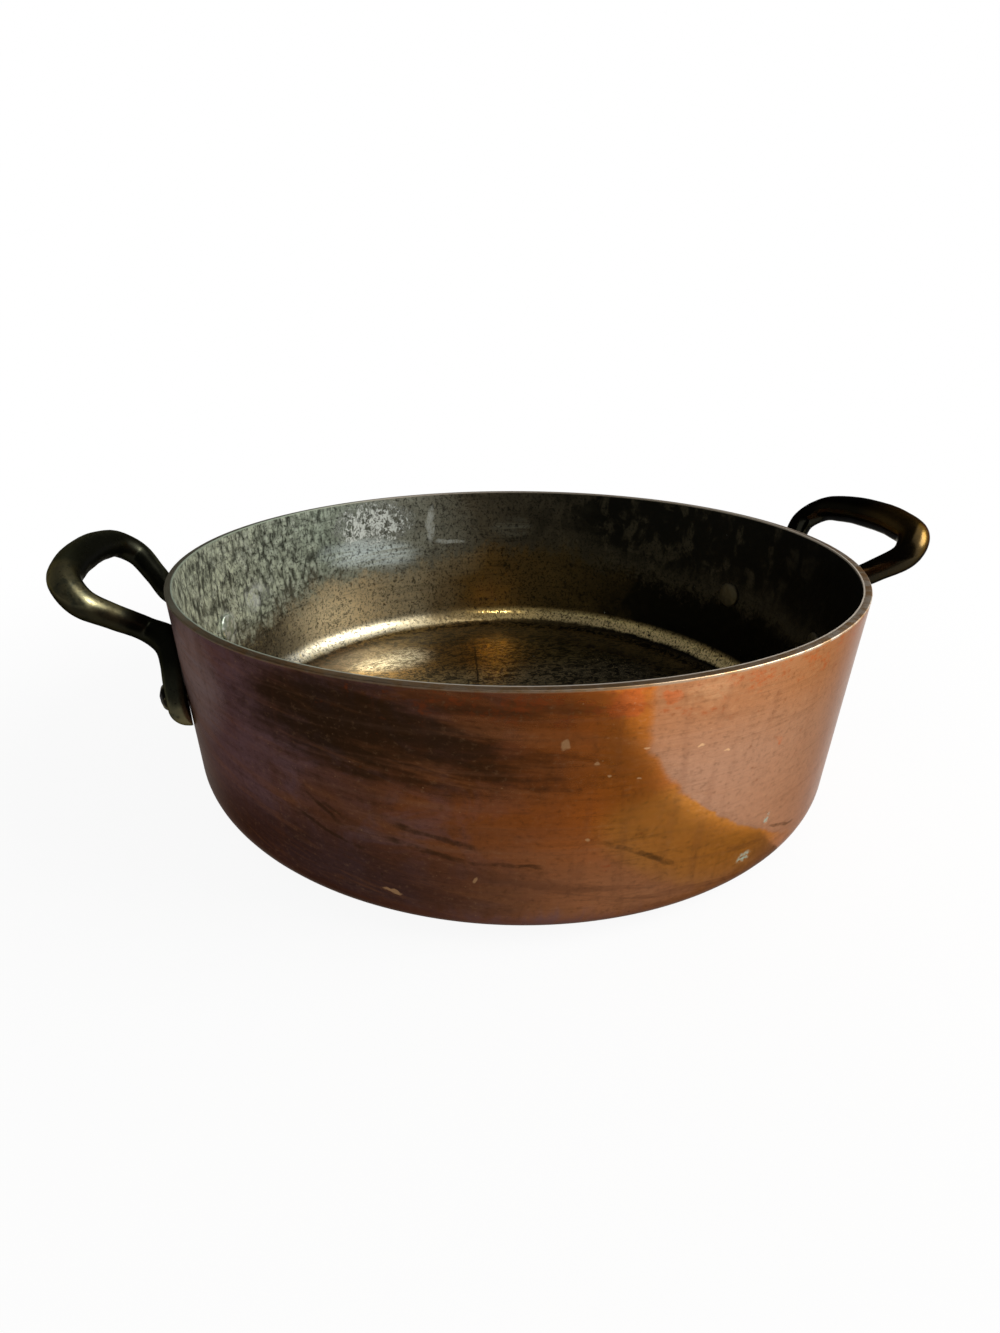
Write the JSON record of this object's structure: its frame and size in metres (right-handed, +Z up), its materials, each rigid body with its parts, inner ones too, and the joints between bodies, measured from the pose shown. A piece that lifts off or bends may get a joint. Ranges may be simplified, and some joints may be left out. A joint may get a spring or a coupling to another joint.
{
  "type": "copper pan",
  "caption": "Round copper pan with upright walls and a tin lining, carried by cast loop handles riveted to opposite sides, for braising and sauces on a hob or in an oven.",
  "frame": {"origin": "middle of the base's underside", "axes": "+X towards the right handle, +Y away from the viewer, +Z up out of the pan"},
  "size_m": [0.3612, 0.28, 0.101],
  "materials": {
    "copper": "worn polish, darkened copper",
    "tin": "wiped tin, tarnished",
    "bronze": "dark cast bronze, rubbed bright on edges",
    "rivet": "dark tarnished copper"
  },
  "bodies": {
    "root": {"pan_body": "copper", "tin_lining": "tin", "handle_left": "bronze", "handle_right": "bronze", "rivet_left_front": "rivet", "rivet_left_back": "rivet", "rivet_right_front": "rivet", "rivet_right_back": "rivet"}
  },
  "joints": []
}
